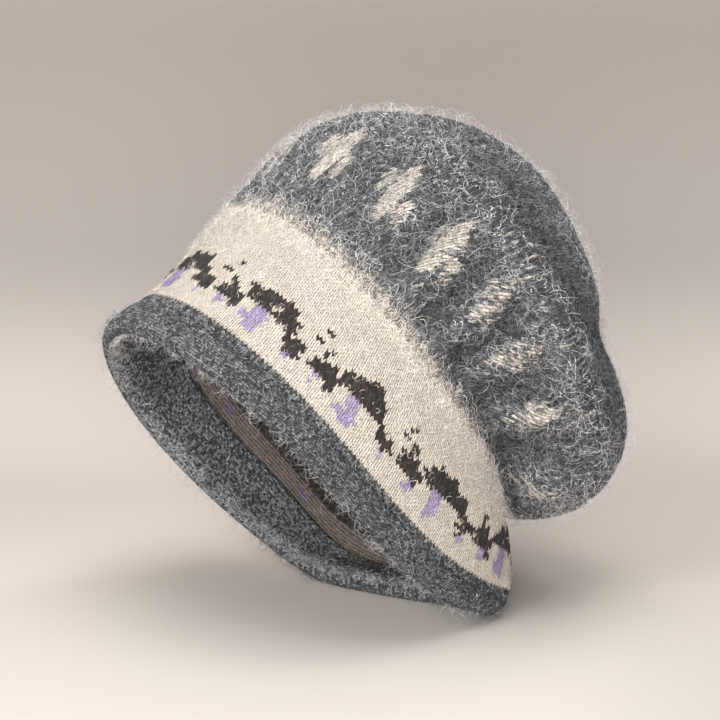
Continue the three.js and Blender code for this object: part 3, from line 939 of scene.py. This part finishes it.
# Styles: lengths in mm, pitches and yaws in radians.
CURLS = (2.0, 4.6), (0.10, 0.75), (1.8, 5.4)         # hug the knit
HALO = (6.0, 17.0), (0.9, 1.6), (0.8, 4.2)           # the crown's long fringe
LIP = (4.0, 12.0), (0.8, 1.6), (0.8, 4.2)            # the shorter fringe of band and hem
SEAM = (2.5, 7.0), (0.1, 0.9), (0.8, 3.6)            # lie across the seam
NEAR_OUT = 2.6                                       # roots just inside the outer skin
GREY_SLOT, CREAM_SLOT, FUZZY_SLOT = "grey_knit", "cream_knit", "fuzzy_grey_knit"
FIBRES = [  # name, count, seed, v range, off the cloth, style, width, tint, slot, steps
    ("crown_curls_low", 16500, 1, (67, 126), NEAR_OUT, CURLS, 0.29, crown_tint, FUZZY_SLOT, 4),
    ("crown_curls_high", 17000, 2, (124, 246), NEAR_OUT, CURLS, 0.29, crown_tint, FUZZY_SLOT, 4),
    ("crown_halo", 9500, 3, (72, 246), NEAR_OUT, HALO, 0.11, pale_painted_backlight_tint, FUZZY_SLOT, 6),
    ("crest_curls", 1500, 13, (133, 142), NEAR_OUT, CURLS, 0.15, crown_tint, FUZZY_SLOT, 4),
    ("seam_curls", 3500, 11, (62, 78), NEAR_OUT, SEAM, 0.22, seam_tint, FUZZY_SLOT, 4),
    ("band_curls", 9000, 4, (19, 72), NEAR_OUT, CURLS, 0.20, band_tint, CREAM_SLOT, 4),
    ("band_halo", 2500, 7, (48, 70), NEAR_OUT, LIP, 0.12, pale_painted_backlight_tint, CREAM_SLOT, 5),
    ("hem_curls", 4500, 5, (0.5, 18), hem_outside, CURLS, 0.18, hem_tint, GREY_SLOT, 4),
    ("hem_halo", 2600, 8, (0.1, 8), hem_outside, LIP, 0.085, hem_tint, GREY_SLOT, 6),
    ("facing_curls", 5000, 6, (0.5, 30), -3.2, CURLS, 0.20, hem_tint, GREY_SLOT, 4),
    ("facing_halo", 3400, 9, (0.1, 6), -2.4, LIP, 0.095, pale_painted_backlight_tint, GREY_SLOT, 6),
    ("reverse_curls", 4000, 10, (31, 52), -0.35, CURLS, 0.26, reverse_tint, CREAM_SLOT, 4),
]
for fibre_name, fibre_count, *fibre_values in FIBRES:
    fibres(fibre_name, int(fibre_count * SHARE), *fibre_values)


# Stage, light and camera
SWEEP_BEND, SWEEP_START = 0.22, 0.16          # radius of the backdrop's bend, y where it starts
SWEEP_WIDE, SWEEP_NEAR, SWEEP_HIGH = 2.5, -2.5, 2.2
# The paper is one pale colour; its darkening to the right, to the back, up the bend and up the
# wall is painted shade.
FLOOR_LEFT, FLOOR_RIGHT_PAINTED_SHADE = linear(228, 220, 213), linear(205, 198, 192)
FLOOR_BACK_PAINTED_SHADE, BEND_PAINTED_SHADE, WALL_PAINTED_SHADE = (linear(200, 192, 186), linear(160, 153, 148),
                                    linear(160, 152, 146))


def stage_sweep():
    """Pale floor that curves up into a plain backdrop: a profile along Y carried along X, its
    paper darker to the right, further back, up the bend and up the wall as painted shade. A
    camera behind the backdrop sees through its back, so the hat shows from every side."""
    arc = np.linspace(0, np.pi / 2, 24)
    y = np.concatenate([[SWEEP_NEAR, -1.0, 0.0], SWEEP_START + SWEEP_BEND * np.sin(arc),
                        [SWEEP_START + SWEEP_BEND]])
    z = np.concatenate([[0.0, 0.0, 0.0], SWEEP_BEND * (1 - np.cos(arc)), [SWEEP_HIGH]])
    x = np.array([-SWEEP_WIDE, SWEEP_WIDE])
    points = np.stack([np.repeat(x, len(y)), np.tile(y, 2), np.tile(z, 2)], -1) / MM
    k = np.arange(len(y) - 1)
    faces = np.stack([k, k + len(y), k + len(y) + 1, k + 1], -1)
    piece = put_mesh("stage_sweep", points, faces)
    f = Finish("stage_paper")
    spot = f.add("ShaderNodeTexCoord")
    place = f.add("ShaderNodeSeparateXYZ", None, {0: spot["Object"]})
    back, height = place.value("Y"), place.value("Z")
    # Painted shade: the paper darkens to the right, towards the back, up the bend and up the wall.
    front = f.mix(place.value("X").smooth(0.0, 0.2), FLOOR_LEFT, FLOOR_RIGHT_PAINTED_SHADE)
    floor = f.mix(back.smooth(-0.14, 0.16), front, FLOOR_BACK_PAINTED_SHADE)
    bend = f.mix(height.smooth(0.0, 0.10), floor, BEND_PAINTED_SHADE)
    tone = f.mix(height.smooth(0.08, 0.24), bend, WALL_PAINTED_SHADE)
    paper = f.add("ShaderNodeBsdfPrincipled", None,
                  {"Base Color": tone, "Roughness": 0.95, "Specular IOR Level": 0.1})
    through = (f.add("ShaderNodeNewGeometry").value("Backfacing")
               * f.add("ShaderNodeLightPath").value("Is Camera Ray"))
    clear = f.add("ShaderNodeBsdfTransparent")
    surface = f.add("ShaderNodeMixShader", None,
                    {0: through, 1: paper["BSDF"], 2: clear["BSDF"]})
    piece.data.materials.append(f.output(surface["Shader"]))


LIGHTS = [  # name, place, aim, size in metres, power in watts, colour
    ("key", (-0.85, -0.95, 1.00), (0.0, 0.0, 0.1), 0.6, 9.5, (1.0, 0.99, 0.97)),
    ("front", (-0.10, -1.40, 0.32), (0.0, 0.0, 0.1), 0.9, 17.0, (1, 1, 1)),
    ("fill", (0.45, -1.25, 0.22), (0.0, 0.0, 0.07), 0.5, 0.5, (1, 1, 1)),
    ("top", (-0.05, -0.15, 1.25), (0.0, 0.0, 0.15), 0.8, 8.0, (1, 1, 1)),
    ("rim", (0.30, 0.34, 0.62), (0.0, 0.0, 0.12), 0.3, 1.5, (1, 1, 1)),
]
SKY_COLOUR, SKY_STRENGTH = (1.0, 0.98, 0.96, 1), 0.26


def softbox(name, place, aim, size, power, colour):
    """A square area light at place, turned to aim, which the camera doesn't see."""
    light = bpy.data.lights.new(name, "AREA")
    light.size, light.energy, light.color = size, power, colour
    lamp = bpy.data.objects.new(name, light)
    lamp.location = place
    lamp.visible_camera = False
    lamp.rotation_euler = (Vector(aim) - Vector(place)).to_track_quat("-Z", "Y").to_euler()
    bpy.context.scene.collection.objects.link(lamp)


stage_sweep()
for light_values in LIGHTS:
    softbox(*light_values)
world = bpy.data.worlds.new("studio")
world.use_nodes = True
sky = world.node_tree.nodes["Background"].inputs
sky["Color"].default_value, sky["Strength"].default_value = SKY_COLOUR, SKY_STRENGTH
bpy.context.scene.world = world

camera = bpy.data.cameras.new("view")
camera.lens, camera.sensor_width, camera.clip_start = 100, 36, 0.05
eye = bpy.data.objects.new("view", camera)
eye.location = (-0.0014, -0.8545, 0.30396)
eye.rotation_euler = (math.radians(77), 0, 0)
bpy.context.scene.collection.objects.link(eye)
bpy.context.scene.camera = eye

bpy.context.scene.view_settings.view_transform = "Standard"
